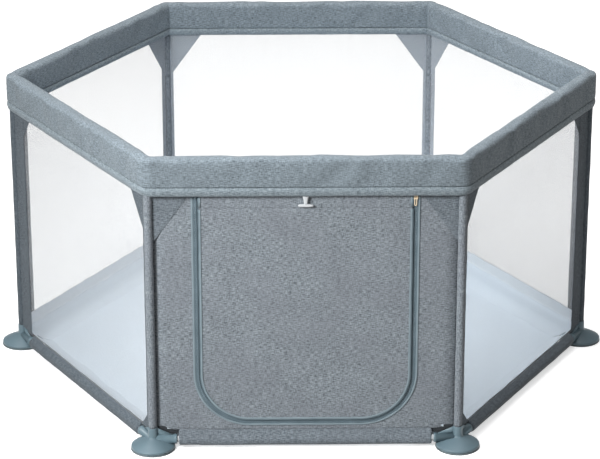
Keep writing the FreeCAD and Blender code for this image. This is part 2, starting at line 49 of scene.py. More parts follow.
# the lines that the pieces share, read from the frame, in metres
legLow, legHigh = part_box("leg_tube_right")
legCircle = (legLow.x + legHigh.x) / 2
legLine = legCircle * math.cos(turnStep / 2)  # middle of the pen to the line between two legs
railLow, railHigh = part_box("rail_pad_front")
hemRollLow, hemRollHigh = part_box("rail_hems")
wallLow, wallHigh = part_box("mesh_wall_back")
wallLine = (wallLow.y + wallHigh.y) / 2  # middle of the pen to the middle of a wall's cloth
bottomHemLow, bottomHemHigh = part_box("bottom_hems")
trackLow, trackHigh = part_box("zip_track")
flapLow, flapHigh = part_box("door_flap")
flapLine = -(flapLow.y + flapHigh.y) / 2  # middle of the pen to the middle of the door's cloth
cupLow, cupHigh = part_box("suction_cup_right")


def sideTurn(index):
    return Matrix.Rotation(turnStep * index, 4, "Z")


def facing(ahead, inward, side, place):
    # lays an outline with its X ahead, its Y inward and its Z to the side
    turned = Matrix((ahead, inward, side)).transposed().to_4x4()
    turned.translation = place
    return turned


def newMesh():
    bm = bmesh.new()
    bm.loops.layers.uv.new("weave")
    return bm


def finishPiece(name, bm, material, body, nodes=(), turn=None, smooth=True):
    # turns the shape to its side, makes it an object and hands it to the frame
    bmesh.ops.recalc_face_normals(bm, faces=bm.faces)
    if turn is not None:
        bmesh.ops.transform(bm, matrix=turn, verts=bm.verts)
    mesh = bpy.data.meshes.new(name)
    bm.to_mesh(mesh)
    bm.free()
    mesh.polygons.foreach_set("use_smooth", [smooth] * len(mesh.polygons))
    mesh.materials.append(material)
    piece = bpy.data.objects.new(name, mesh)
    bpy.context.scene.collection.objects.link(piece)
    if body:
        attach(piece, body)
    if nodes:
        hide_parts(*nodes)
    return piece


def flatWeave(bm, up="z"):
    # weave coordinates in metres, straight from the cloth's own width and height
    layer = bm.loops.layers.uv["weave"]
    for face in bm.faces:
        for loop in face.loops:
            loop[layer].uv = (loop.vert.co.x, getattr(loop.vert.co, up))


def sweep(bm, profile, places, closedProfile=True, closedPath=False, caps=False):
    # draws one outline and extrudes it from place to place, with weave coordinates in metres
    along = bm.verts.layers.float.get("along") or bm.verts.layers.float.new("along")
    around = bm.verts.layers.float.get("around") or bm.verts.layers.float.new("around")
    ring = [bm.verts.new(places[0] @ point) for point in profile]
    reach = 0.0
    for i, vert in enumerate(ring):
        if i:
            reach += (profile[i] - profile[i - 1]).length
        vert[around] = reach
    girth = reach + ((profile[0] - profile[-1]).length if closedProfile else 0)
    count = len(ring)
    edges = [bm.edges.new((ring[i], ring[i + 1])) for i in range(count - 1)]
    if closedProfile:
        edges.append(bm.edges.new((ring[-1], ring[0])))
    firstEdges, faces, distance = list(edges), [], 0.0
    if caps:
        faces.append(bm.faces.new(ring))
    for before, place in zip(places, places[1:]):
        made = bmesh.ops.extrude_edge_only(bm, edges=edges)["geom"]
        verts = [g for g in made if isinstance(g, bmesh.types.BMVert)]
        inRing = set(verts)
        faces += [g for g in made if isinstance(g, bmesh.types.BMFace)]
        edges = [
            g for g in made
            if isinstance(g, bmesh.types.BMEdge) and all(v in inRing for v in g.verts)
        ]
        bmesh.ops.transform(bm, matrix=place @ before.inverted(), verts=verts)
        distance += (place.translation - before.translation).length
        for vert in verts:
            vert[along] = distance
    length = distance
    if closedPath:
        length += (places[0].translation - places[-1].translation).length
        faces += bmesh.ops.bridge_loops(bm, edges=edges + firstEdges)["faces"]
    elif caps:
        faces += bmesh.ops.edgeloop_fill(bm, edges=edges)["faces"]
    layer = bm.loops.layers.uv["weave"]
    for face in faces:
        us = [loop.vert[along] for loop in face.loops]
        vs = [loop.vert[around] for loop in face.loops]
        for loop, u, v in zip(face.loops, us, vs):
            if closedPath and max(us) - min(us) > length / 2 and u < length / 2:
                u += length
            if closedProfile and max(vs) - min(vs) > girth / 2 and v < girth / 2:
                v += girth
            loop[layer].uv = (u, v)
    return faces


def ripple(bm, amount, size, direction, seed, fade=None):
    # slow waves in cloth, the same ones each time
    for vert in bm.verts:
        spot = vert.co / size + Vector((seed * 7.3, seed * 3.1, seed * 1.7))
        share = fade(vert.co) if fade else 1.0
        vert.co += direction * (noise.noise(spot) * amount * share)


def settle(piece, pinned, look):
    # cloth simulation of a padded cover, held at its seams, then written into its mesh
    mesh = piece.data
    rest = [v.co.copy() for v in mesh.vertices]
    group = piece.vertex_groups.new(name="seams")
    group.add(pinned, 1.0, "REPLACE")
    cloth = piece.modifiers.new("cover", "CLOTH")
    cloth.settings.quality = 5
    cloth.settings.mass = 0.2
    cloth.settings.tension_stiffness = 20
    cloth.settings.compression_stiffness = 20
    cloth.settings.shear_stiffness = 8
    cloth.settings.bending_stiffness = look["stiff"]
    cloth.settings.use_pressure = True
    cloth.settings.uniform_pressure_force = look["pressure"]
    cloth.settings.shrink_min = look["slack"]
    cloth.settings.vertex_group_mass = "seams"
    cloth.settings.effector_weights.gravity = 0
    cloth.collision_settings.use_collision = False
    cloth.point_cache.frame_start = 1
    cloth.point_cache.frame_end = look["frames"]
    scene = bpy.context.scene
    for step in range(1, look["frames"] + 1):
        scene.frame_set(step)
    settled = piece.evaluated_get(bpy.context.evaluated_depsgraph_get())
    moved = [v.co.copy() for v in settled.data.vertices]
    piece.modifiers.remove(cloth)
    piece.vertex_groups.remove(group)
    scene.frame_set(1)
    for vert, start, end in zip(mesh.vertices, rest, moved):
        step = end - start
        if step.length > look["cap"]:
            step *= look["cap"] / step.length
        vert.co = start + step
    mesh.update()


def subdivide(piece):
    modifier = piece.modifiers.new("smooth", "SUBSURF")
    modifier.levels = modifier.render_levels = 1


def thicken(piece, thickness):
    modifier = piece.modifiers.new("cloth thickness", "SOLIDIFY")
    modifier.thickness = thickness
    modifier.offset = 0.0
    # keeps the shading of each face flat up to the thin cut edge
    normals = piece.modifiers.new("flat to the edge", "WEIGHTED_NORMAL")
    normals.mode = "FACE_AREA"
    normals.weight = 100


def finishSheet(name, bm, material, nodes, thickness, body="frame",
                turn=None, area=None, back=None):
    # a piece cut from flat cloth and held stretched; back is the cloth of its inner face
    piece = finishPiece(name, bm, material, body, nodes, turn)
    thicken(piece, thickness)
    if back:
        piece.data.materials.append(back)
        piece.modifiers["cloth thickness"].material_offset = 1
    return piece


def clothArea(bm):
    return sum(face.calc_area() for face in bm.faces)


def endName(sign):
    return "_left" if sign < 0 else "_right"


def nodeMaterial(name):
    material = bpy.data.materials.new(name)
    material.use_nodes = True
    tree = material.node_tree
    return material, tree, tree.nodes["Principled BSDF"]


def node(tree, kind, **values):
    made = tree.nodes.new(kind)
    for key, value in values.items():
        setattr(made, key, value)
    return made


def setInputs(made, values):
    for name, value in values.items():
        made.inputs[name].default_value = value


def math2(tree, operation, a, b=0.0):
    made = node(tree, "ShaderNodeMath", operation=operation)
    for socket, value in zip(made.inputs, (a, b)):
        if isinstance(value, bpy.types.NodeSocket):
            tree.links.new(value, socket)
        else:
            socket.default_value = value
    return made.outputs[0]


def weaveCoords(tree):
    # the cloth's own coordinates, in metres
    uv = node(tree, "ShaderNodeUVMap", uv_map="weave")
    split = node(tree, "ShaderNodeSeparateXYZ")
    tree.links.new(uv.outputs["UV"], split.inputs[0])
    return split.outputs["X"], split.outputs["Y"]


def plainNoise(tree, coords, scale, detail=2.0):
    made = node(tree, "ShaderNodeTexNoise")
    setInputs(made, {"Scale": scale, "Detail": detail})
    tree.links.new(coords, made.inputs["Vector"])
    return made.outputs["Fac"]


def stretchedNoise(tree, u, v, perU, perV, detail=2.0, seed=0.0):
    place = node(tree, "ShaderNodeCombineXYZ")
    tree.links.new(math2(tree, "MULTIPLY", u, perU), place.inputs["X"])
    tree.links.new(math2(tree, "MULTIPLY", v, perV), place.inputs["Y"])
    place.inputs["Z"].default_value = seed
    return plainNoise(tree, place.outputs[0], 1.0, detail)


def spread(tree, value, low, high, newLow=0.0, newHigh=1.0):
    made = node(tree, "ShaderNodeMapRange")
    setInputs(made, {"From Min": low, "From Max": high, "To Min": newLow, "To Max": newHigh})
    tree.links.new(value, made.inputs["Value"])
    return made.outputs["Result"]


def mixColour(tree, factor, a, b):
    made = node(tree, "ShaderNodeMix", data_type="RGBA")
    if isinstance(factor, bpy.types.NodeSocket):
        tree.links.new(factor, made.inputs["Factor"])
    else:
        made.inputs["Factor"].default_value = factor
    for socket, value in ((made.inputs["A"], a), (made.inputs["B"], b)):
        if isinstance(value, bpy.types.NodeSocket):
            tree.links.new(value, socket)
        else:
            socket.default_value = (*value, 1.0)
    return made.outputs["Result"]


def addBump(tree, shader, height, strength, distance):
    bump = node(tree, "ShaderNodeBump")
    setInputs(bump, {"Strength": strength, "Distance": distance})
    tree.links.new(height, bump.inputs["Height"])
    tree.links.new(bump.outputs["Normal"], shader.inputs["Normal"])


def melangeCloth(name, look):
    # heathered woven cloth: dark and light slubs both ways, on a fine plain weave
    look = {**clothLook, **look}
    material, tree, shader = nodeMaterial(name)
    u, v = weaveCoords(tree)
    warp = stretchedNoise(tree, u, v, look["slubsAlong"], look["slubsAcross"], 3.0, 1.0)
    weft = stretchedNoise(tree, u, v, look["slubsAcross"], look["slubsAlong"], 3.0, 9.0)
    cloud = stretchedNoise(tree, u, v, look["cloudsPerMetre"], look["cloudsPerMetre"], 3.0, 4.0)
    sharp = look["slubEdge"]
    slubs = math2(
        tree, "ADD",
        math2(tree, "MULTIPLY", spread(tree, warp, sharp, 1 - sharp), look["warpShare"]),
        math2(tree, "MULTIPLY", spread(tree, weft, sharp, 1 - sharp), 1 - look["warpShare"]),
    )
    clouded = math2(tree, "ADD", slubs, spread(tree, cloud, 0.3, 0.7, -0.06, 0.06))
    colour = mixColour(tree, clouded, look["dark"], look["light"])
    hue = stretchedNoise(tree, u, v, look["tintsPerMetre"], look["tintsPerMetre"], 2.0, 17.0)
    colour = mixColour(tree, spread(tree, hue, 0.35, 0.65, 0.0, look["tintShare"]), colour, look["tint"])
    tree.links.new(colour, shader.inputs["Base Color"])
    tree.links.new(spread(tree, slubs, 0, 1, 0.95, 0.78), shader.inputs["Roughness"])
    setInputs(shader, {"Sheen Weight": look["sheen"], "Sheen Roughness": 0.5})
    perMetre = 2 * math.pi / look["threadPitch"]
    overUnder = math2(
        tree, "MULTIPLY",
        math2(tree, "SINE", math2(tree, "MULTIPLY", u, perMetre)),
        math2(tree, "SINE", math2(tree, "MULTIPLY", v, perMetre)),
    )
    height = math2(tree, "ADD", math2(tree, "MULTIPLY", overUnder, look["threadShare"]), slubs)
    addBump(tree, shader, height, look["bump"], look["threadDepth"])
    return material


def nettingCloth(name, look):
    # sheer net: rows of round holes, nearly clear, between threads that are partly clear
    material, tree, shader = nodeMaterial(name)
    u, v = weaveCoords(tree)
    waves = None
    for k in range(3):
        turn = math.pi * k / 3
        across = math2(
            tree, "ADD", math2(tree, "MULTIPLY", u, math.cos(turn) * look["holesPerMetre"]),
            math2(tree, "MULTIPLY", v, math.sin(turn) * look["holesPerMetre"]),
        )
        wave = math2(tree, "COSINE", math2(tree, "MULTIPLY", across, 2 * math.pi))
        waves = wave if waves is None else math2(tree, "ADD", waves, wave)
    # three crossed waves add up to between -1.5 and 3
    alpha = spread(tree, waves, -1.5, 3.0, look["thread"], look["hole"])
    tree.links.new(alpha, shader.inputs["Alpha"])
    uneven = stretchedNoise(tree, u, v, 25, 25, 2.0, 3.0)
    colour = mixColour(tree, spread(tree, uneven, 0.3, 0.7), look["shade"], look["colour"])
    tree.links.new(colour, shader.inputs["Base Color"])
    shader.inputs["Roughness"].default_value = 0.8
    addBump(tree, shader, waves, 0.25, 0.0003)
    return material


def mouldedPlastic(name, look):
    # satin moulding with a fine grain and a slight drift of colour
    material, tree, shader = nodeMaterial(name)
    coords = node(tree, "ShaderNodeTexCoord").outputs["Object"]
    grain = plainNoise(tree, coords, look["grain"], 4)
    drift = plainNoise(tree, coords, 18)
    colour = mixColour(tree, spread(tree, drift, 0.3, 0.7), look["low"], look["high"])
    tree.links.new(colour, shader.inputs["Base Color"])
    rough = spread(tree, grain, 0.3, 0.7, look["rough"] - 0.06, look["rough"] + 0.06)
    tree.links.new(rough, shader.inputs["Roughness"])
    shader.inputs["Metallic"].default_value = look["metal"]
    addBump(tree, shader, grain, look["bump"], 0.0004)
    return material


def zipTapeCloth(name, look):
    # twill tape: fine slanting ribs, with long streaks of colour
    material, tree, shader = nodeMaterial(name)
    u, v = weaveCoords(tree)
    ribsPerMetre = 900
    slant = math2(tree, "MULTIPLY", math2(tree, "ADD", u, v), ribsPerMetre)
    ribs = math2(tree, "SINE", math2(tree, "MULTIPLY", slant, math.pi))
    streak = stretchedNoise(tree, u, v, 30, 500, 2.0, 2.0)
    colour = mixColour(tree, spread(tree, streak, 0.3, 0.7), look["dark"], look["light"])
    tree.links.new(colour, shader.inputs["Base Color"])
    setInputs(shader, {"Roughness": 0.7, "Sheen Weight": 0.15})
    addBump(tree, shader, ribs, 0.25, 0.0003)
    return material


clothLook = {
    "slubsAlong": 105, "slubsAcross": 620, "warpShare": 0.64, "slubEdge": 0.37, "cloudsPerMetre": 22,
    "tintsPerMetre": 9, "tintShare": 0.35, "threadPitch": 0.0016, "threadShare": 0.35,
    "threadDepth": 0.0006, "bump": 0.5, "sheen": 0.12,
}
heathers = {
    # finish: dark slubs, light slubs, the slow tint over both
    "heathered cloth": ((0.070, 0.084, 0.098), (0.385, 0.43, 0.475), (0.20, 0.212, 0.245)),
    "heathered rail cloth": ((0.070, 0.092, 0.108), (0.335, 0.395, 0.445), (0.19, 0.23, 0.26)),
    "heathered roll cloth": ((0.085, 0.112, 0.130), (0.385, 0.45, 0.50), (0.22, 0.265, 0.295)),
    "dark band cloth": ((0.038, 0.052, 0.064), (0.155, 0.185, 0.215), (0.08, 0.10, 0.12)),
    # near black: painted shade of the hem's open tunnel above each foot
    "painted shade tunnel cloth": ((0.012, 0.015, 0.018), (0.04, 0.046, 0.054), (0.02, 0.023, 0.028)),
    "heathered hem cloth": ((0.055, 0.070, 0.084), (0.27, 0.31, 0.35), (0.145, 0.165, 0.19)),
    "pale lining cloth": ((0.34, 0.40, 0.46), (0.52, 0.58, 0.64), (0.42, 0.46, 0.55)),
}
cloth, railCloth, rollCloth, bandCloth, paintedShadeCloth, hemCloth, liningCloth = [
    melangeCloth(name, {"dark": dark, "light": light, "tint": tint})
    for name, (dark, light, tint) in heathers.items()
]
netting = nettingCloth(
    "white netting",
    {
        "holesPerMetre": 420, "thread": 0.30, "hole": 0.02,
        "shade": (0.52, 0.53, 0.55), "colour": (0.60, 0.61, 0.63),
    },
)
floorCloth = melangeCloth(
    "coated floor cloth",
    {
        "dark": (0.60, 0.69, 0.77), "light": (0.70, 0.785, 0.87), "tint": (0.64, 0.73, 0.83),
        "bump": 0.2, "sheen": 0.0,
    },
)
# paler copy of the floor cloth for the skirt's upright band: painted light, making up for the top light that
# upright faces miss
paintedLightEdgeCloth = melangeCloth(
    "floor cloth with painted light",
    {
        "dark": (0.76, 0.82, 0.87), "light": (0.86, 0.90, 0.94), "tint": (0.80, 0.86, 0.92),
        "bump": 0.2, "sheen": 0.0,
    },
)
tapeCloth = zipTapeCloth("zip tape", {"dark": (0.080, 0.120, 0.145), "light": (0.140, 0.195, 0.230)})
edgeTape = zipTapeCloth("zip edge", {"dark": (0.185, 0.245, 0.280), "light": (0.27, 0.335, 0.375)})
smoothFinishes = {
    # finish: darker colour, lighter colour, grains per metre, roughness, bump, metal
    "foot plastic": ((0.120, 0.180, 0.212), (0.145, 0.212, 0.250), 900, 0.42, 0.08, 0.0),
    "cup rubber": ((0.09, 0.12, 0.13), (0.12, 0.155, 0.17), 500, 0.62, 0.15, 0.0),
    "corner plastic": ((0.05, 0.055, 0.06), (0.07, 0.08, 0.085), 700, 0.5, 0.1, 0.0),
    "tube paint": ((0.42, 0.44, 0.46), (0.5, 0.52, 0.54), 1200, 0.38, 0.1, 0.0),
    "screw steel": ((0.5, 0.5, 0.5), (0.62, 0.62, 0.61), 1500, 0.35, 0.1, 1.0),
    "zip bronze": ((0.36, 0.26, 0.15), (0.78, 0.66, 0.5), 700, 0.32, 0.12, 1.0),
    "toggle white": ((0.50, 0.52, 0.54), (0.66, 0.68, 0.70), 800, 0.3, 0.05, 0.0),
}
footPlastic, cupRubber, cornerPlastic, tubePaint, screwSteel, zipMetal, toggleWhite = [
    mouldedPlastic(name, dict(zip(("low", "high", "grain", "rough", "bump", "metal"), look)))
    for name, look in smoothFinishes.items()
]
print("materials made")


def roundedOutline(halfWidth, low, high, lowRadius, highRadius, swell=0.0, steps=(8, 4), stepsRound=4):
    # outline in the YZ plane from its bottom outer corner up, over and down; swell rounds its sides out
    corners = (
        (-halfWidth, low, lowRadius, 270), (-halfWidth, high, highRadius, 180),
        (halfWidth, high, highRadius, 90), (halfWidth, low, lowRadius, 0),
    )
    arcs = []
    for y, z, radius, start in corners:
        centre = Vector((0, y - math.copysign(radius, y), z + (radius if z == low else -radius)))
        turns = [math.radians(start - 90 * i / stepsRound) for i in range(stepsRound + 1)]
        arcs.append([centre + radius * Vector((0, math.cos(a), math.sin(a))) for a in turns])
    points = []
    for index, arc in enumerate(arcs):
        points += arc
        run = arcs[(index + 1) % 4][0] - arc[-1]
        outward = Vector((0, -run.z, run.y)).normalized()
        count = steps[index % 2]
        for i in range(1, count):
            share = i / count
            points.append(arc[-1] + run * share + outward * swell * math.sin(math.pi * share))
    return points


def circleOutline(radius, count):
    turns = [2 * math.pi * i / count for i in range(count)]
    return [Vector((0, radius * math.cos(a), radius * math.sin(a))) for a in turns]


def ringPlaces(line, radius, stepsAlong, stepsRound):
    # places round the whole pen, along a line that runs round the corners
    half = line * math.tan(turnStep / 2) - radius * math.tan(turnStep / 2)
    places = []
    for k in range(6):
        for i in range(stepsAlong):
            x = -half + 2 * half * i / stepsAlong
            places.append(sideTurn(k) @ Matrix.Translation((x, -line, 0)))
        for i in range(stepsRound):
            bend = Matrix.Rotation(turnStep * i / stepsRound, 4, "Z")
            centre = Matrix.Translation((half, radius - line, 0))
            places.append(sideTurn(k) @ centre @ bend @ Matrix.Translation((0, -radius, 0)))
    return places


def seamDistance(point):
    # how far a point is from the nearest corner seam, measured along the rail
    angle = math.atan2(point.y, point.x)
    off = angle - turnStep * round(angle / turnStep)
    return abs(math.sin(off)) * math.hypot(point.x, point.y)


def sideReach(point):
    # distance from the pen's middle to a point, square to the nearest side
    return max((sideTurn(k) @ Vector((0, -1, 0))).dot(point) for k in range(6))


rail = {
    "cornerRadius": 0.0175, "stepsAlong": 56, "stepsRound": 6,
    "topRadius": 0.010, "bottomRadius": 0.0025, "swell": 0.0004, "undersize": 0.0010, "seamGap": 0.0006,
    "cornerPush": 0.0012, "cornerReach": 0.022, "cornerBand": 0.024,
    "seamPinch": 0.0009, "seamReach": 0.004, "seamPin": 0.001,
    "pressure": 1.0, "slack": -0.006, "cap": 0.0018, "stiff": 5.0, "frames": 20,
    "creaseDepth": 0.0007, "creaseReach": 0.030, "creasePitch": 0.014, "creaseLean": 90,
}


def buildRailCover():
    low, high = railLow.z, railHigh.z
    seam = rail["seamReach"]
    halfWidth = (railHigh.y - railLow.y) / 2 - rail["undersize"]
    bm = newMesh()
    profile = roundedOutline(
        halfWidth, low + rail["seamGap"], high - rail["undersize"], rail["bottomRadius"],
        rail["topRadius"], rail["swell"],
    )
    places = ringPlaces(legLine, rail["cornerRadius"], rail["stepsAlong"], rail["stepsRound"])
    sweep(bm, profile, places, closedPath=True)
    for vert in bm.verts:
        away = seamDistance(vert.co)
        angle = round(math.atan2(vert.co.y, vert.co.x) / turnStep) * turnStep
        corner = Vector((math.cos(angle), math.sin(angle), 0))
        # the outside of each corner is pushed out to a sharper bend, then creased towards its seam
        outside = max(0, min(1, (vert.co.dot(corner) - legCircle) / rail["cornerBand"] + 0.5))
        vert.co += corner * rail["cornerPush"] * outside * max(0, 1 - away / rail["cornerReach"]) ** 2
        if vert.co.z > low + seam:
            middle = corner * legCircle + Vector((0, 0, (low + high) / 2))
            towards = (middle - vert.co).normalized()
            vert.co += towards * rail["seamPinch"] * math.exp(-(away / seam) ** 2)
            fade = math.exp(-(away / rail["creaseReach"]) ** 2) * (1 - math.exp(-(away / seam) ** 2))
            crease = math.sin(vert.co.z * 2 * math.pi / rail["creasePitch"] + away * rail["creaseLean"])
            vert.co += towards * fade * crease * rail["creaseDepth"]
    nodes = ["rail_pad_" + side for side in sideNames]
    piece = finishPiece("rail_cover", bm, railCloth, "frame", nodes)
    pinned = [
        v.index for v in piece.data.vertices
        if v.co.z < low + seam or seamDistance(v.co) < rail["seamPin"]
    ]
    settle(piece, pinned, rail)
    subdivide(piece)


hem = {
    "halfWidth": 0.0162, "lowRadius": 0.0085, "highRadius": 0.0028, "swell": 0.0012, "seamGap": 0.0006,
    "cornerRadius": 0.017, "stepsAlong": 150, "stepsRound": 8, "insideShare": 0.97,
    "wave": 0.0014, "waveSize": 0.03, "pucker": 0.0004, "puckerSize": 0.009, "lift": 0.0006, "liftSize": 0.06,
    "droop": 0.0038, "droopStart": 0.003, "droopReach": 0.010,
}


def buildRailHem():
    low, high = hemRollLow.z, hemRollHigh.z
    bm = newMesh()
    profile = roundedOutline(
        hem["halfWidth"], low + hem["seamGap"], high, hem["lowRadius"], hem["highRadius"], hem["swell"],
        steps=(3, 3),
    )
    places = ringPlaces(legLine, hem["cornerRadius"], hem["stepsAlong"], hem["stepsRound"])
    sweep(bm, profile, places, closedPath=True)
    for vert in bm.verts:
        outward = Vector((vert.co.x, vert.co.y, 0)).normalized()
        inside = vert.co.xy.length < legCircle * hem["insideShare"]
        wave = noise.noise(vert.co / hem["waveSize"]) * hem["wave"]
        wave += noise.noise(vert.co / hem["puckerSize"]) * hem["pucker"]
        vert.co += outward * wave * (0.4 if inside else 1.0)
        vert.co.z += noise.noise(vert.co / hem["liftSize"] + Vector((9, 3, 1))) * hem["lift"]
        # its outer lower edge hangs over the wall
        outer = (sideReach(vert.co) - legLine - hem["droopStart"]) / hem["droopReach"]
        vert.co.z -= hem["droop"] * max(0, min(1, outer)) * (high - vert.co.z) / (high - low)
    piece = finishPiece("rail_hem", bm, rollCloth, "frame", ["rail_hems"])
    subdivide(piece)


buildRailCover()
buildRailHem()
print("rail and hems made")


sleeve = {
    "radius": 0.0093, "low": 0.0502, "high": 0.6028, "steps": 90, "wave": 0.0006,
}
band = {
    "sideWidth": 0.050, "endWidth": 0.026, "backWidth": 0.0165, "legGap": 0.006, "hemGap": 0.001,
    "thickness": 0.0010, "inFront": 0.0021, "tuck": 0.004, "wave": 0.0006,
}


def wallGrid(bm, x0, x1, z0, z1, y, stepsX, stepsZ):
    # upright sheet of squares on the front wall's plane, before its side is turned
    place = Matrix.Translation(((x0 + x1) / 2, y, (z0 + z1) / 2))
    size = Matrix.Diagonal((x1 - x0, 1, z1 - z0, 1))
    stand = Matrix.Rotation(math.radians(90), 4, "X")
    bmesh.ops.create_grid(bm, x_segments=stepsX, y_segments=stepsZ, size=0.5, matrix=place @ size @ stand)


def buildSleeves():
    upright = Matrix.Rotation(math.radians(-90), 4, "Y")
    for k, corner in enumerate(cornerNames):
        bm = newMesh()
        places = []
        for i in range(sleeve["steps"] + 1):
            z = sleeve["low"] + (sleeve["high"] - sleeve["low"]) * i / sleeve["steps"]
            places.append(Matrix.Translation((0, 0, z)) @ upright)
        sweep(bm, circleOutline(sleeve["radius"], 20), places, caps=True)
        for vert in bm.verts:
            outward = Vector((vert.co.x, vert.co.y, 0))
            if outward.length > 0.001:
                spot = Vector((vert.co.x * 60, vert.co.y * 60, vert.co.z * 28 + k * 5))
                vert.co += outward.normalized() * noise.noise(spot) * sleeve["wave"]
        turn = sideTurn(k) @ Matrix.Translation((legCircle, 0, 0))
        covering = bandCloth if corner in ("left", "right") else cloth
        finishPiece("leg_sleeve_" + corner, bm, covering, "frame", ["leg_sleeves"], turn)


def buildBands():
    # side seam bands that hold the net beside each leg, wider at the left and right corners
    half = legCircle / 2
    wideEnds = {(1, 1), (2, 0), (4, 1), (5, 0)}
    for k, side in enumerate(sideNames[1:], 1):
        for end, sign in ((0, -1), (1, 1)):
            wide = (k, end) in wideEnds
            width = band["sideWidth"] if wide else band["endWidth"]
            if side == "back":
                width = band["backWidth"]
            x0, x1 = sorted((sign * (half - width), sign * (half - band["legGap"])))
            low = wallLow.z + band["hemGap"]
            bm = newMesh()
            wallGrid(bm, x0, x1, low, wallHigh.z, -wallLine - band["inFront"], 5, 70)
            flatWeave(bm)
            for vert in bm.verts:
                edge = min(1, (half - abs(vert.co.x)) / width)
                vert.co.y -= band["tuck"] * (1 - edge) ** 2
                spot = Vector((vert.co.x * 30, k * 4 + end, vert.co.z * 22))
                vert.co.y += noise.noise(spot) * band["wave"]
            finishSheet(
                "seam_band_" + side + endName(sign), bm, bandCloth, (), band["thickness"],
                turn=sideTurn(k), back=bandCloth if wide else liningCloth,
            )


buildSleeves()
buildBands()
print("legs dressed")


bottomHem = {
    # what differs between the deep front band and the cloth that lies close round the other tubes
    "front": {
        "low": bottomHemLow.z, "high": bottomHemHigh.z, "halfWidth": 0.0098, "wave": 0.0012, "narrow": 0.40,
    },
    "others": {"low": 0.0085, "high": 0.0375, "halfWidth": 0.0108, "wave": 0.0007, "narrow": 0.66},
    "halfLength": 0.283, "steps": 110, "seamGap": 0.001, "lowRadius": 0.0075, "highRadius": 0.0018,
    "swell": 0.0003, "seamInset": 0.0026, "seamShare": 0.88,
}
hemEnd = {
    "front": {"top": wallLow.z + 0.0065, "height": 0.0170, "inset": 0.0022},
    "others": {"top": bottomHem["others"]["high"] + 0.002, "height": 0.0135, "inset": 0.0014},
    "overlap": 0.004, "legGap": 0.011, "thickness": 0.0011,
}
door = {
    "openHalf": 0.2398, "openEase": 0.0004, "openLow": 0.0612, "openRadius": 0.1178, "flapHalf": 0.2303,
    "flapRadius": 0.1085, "arcSteps": 14, "straightSteps": 26, "panelThickness": 0.0016, "wave": 0.0012,
    "waveSize": 0.07, "clothThickness": 0.0012, "seam": 0.0003,
    "backing": (-0.006, 0.008), "backingDepth": 0.0021,
    "sideFold": 0.006, "sideFoldReach": 0.017, "slack": 0.0018, "slackSize": 0.10, "pucker": 0.0006,
    "puckerSize": 0.03, "stillEdge": (0.05, 0.04),
}
lining = {"inside": 0.014, "outside": 0.002, "depth": 0.0072, "thickness": 0.001}
zipLine = {
    "half": trackHigh.x - 0.0025, "low": trackLow.z + 0.0025, "radius": 0.115, "top": trackHigh.z,
    "stripeWidth": 0.0043, "tapeHalf": 0.0105, "hingeGap": 0.0022, "headerGap": 0.0028,
    "teethDepth": 0.0013, "teethHalf": (0.0011, 0.0024), "toothPitch": 0.001, "toothPulse": 0.12,
}


def panelFade(point):
    # the front cloth lies flat at its outer edges and beside the zip
    side = min(1, (wallHigh.x - abs(point.x)) / 0.02)
    gap = max(abs(point.x) - door["openHalf"], 0) / 0.015 + max(door["openLow"] - point.z, 0) / 0.01
    return side * min(1, gap)


net = {"thickness": 0.0010, "stepsX": 66, "stepsZ": 56, "slack": 0.0035, "slackSize": 0.11, "overlap": 0.002}
gusset = {
    "width": 0.080, "drop": 0.110, "footWidth": 0.046, "footRise": 0.055, "cuts": 7,
    "inFront": 0.0013, "hemGap": 0.0005, "wave": 0.0006, "thickness": 0.0008,
}


def buildWalls():
    low = bottomHem["others"]["high"] - net["overlap"]
    width, height = wallHigh.x - wallLow.x, wallHigh.z - low

    def fade(point):
        across = math.cos(math.pi * (point.x - (wallLow.x + wallHigh.x) / 2) / width)
        up = math.sin(math.pi * (point.z - low) / height)
        return max(0, across * up) ** 0.6

    for k, side in enumerate(sideNames[1:], 1):
        bm = newMesh()
        wallGrid(bm, wallLow.x, wallHigh.x, low, wallHigh.z, -wallLine, net["stepsX"], net["stepsZ"])
        flatWeave(bm)
        ripple(bm, net["slack"], net["slackSize"], Vector((0, 1, 0)), k, fade)
        finishSheet(
            "net_wall_" + side, bm, netting, ["mesh_wall_" + side], net["thickness"],
            turn=sideTurn(k),
        )


def buildGussets():
    edge = legCircle / 2 - sleeve["radius"]
    y = -wallLine - gusset["inFront"]
    shapes = (
        ("top", wallHigh.z - gusset["hemGap"], -gusset["drop"], gusset["width"]),
        ("foot", bottomHem["others"]["high"], gusset["footRise"], gusset["footWidth"]),
    )
    for k, side in enumerate(sideNames):
        for place, z, rise, width in shapes[:1] if k == 0 else shapes:
            for sign in (-1, 1):
                bm = newMesh()
                corners = [(sign * edge, z), (sign * (edge - width), z), (sign * edge, z + rise)]
                bm.faces.new([bm.verts.new((x, y, h)) for x, h in corners])
                bmesh.ops.subdivide_edges(bm, edges=bm.edges[:], cuts=gusset["cuts"], use_grid_fill=True)
                flatWeave(bm)
                if k == 0:
                    ripple(bm, door["wave"], door["waveSize"], Vector((0, 1, 0)), 11, panelFade)
                else:
                    for vert in bm.verts:
                        spot = Vector((vert.co.x * 25, k + 3 * sign, vert.co.z * 25))
                        vert.co.y += noise.noise(spot) * gusset["wave"]
                finishSheet(
                    "gusset_" + place + "_" + side + endName(sign), bm, hemCloth if k == 0 else bandCloth,
                    ["corner_gussets"], gusset["thickness"],
                    turn=sideTurn(k), area=width * abs(rise) / 2, back=liningCloth,
                )


buildWalls()
buildGussets()
print("walls made")


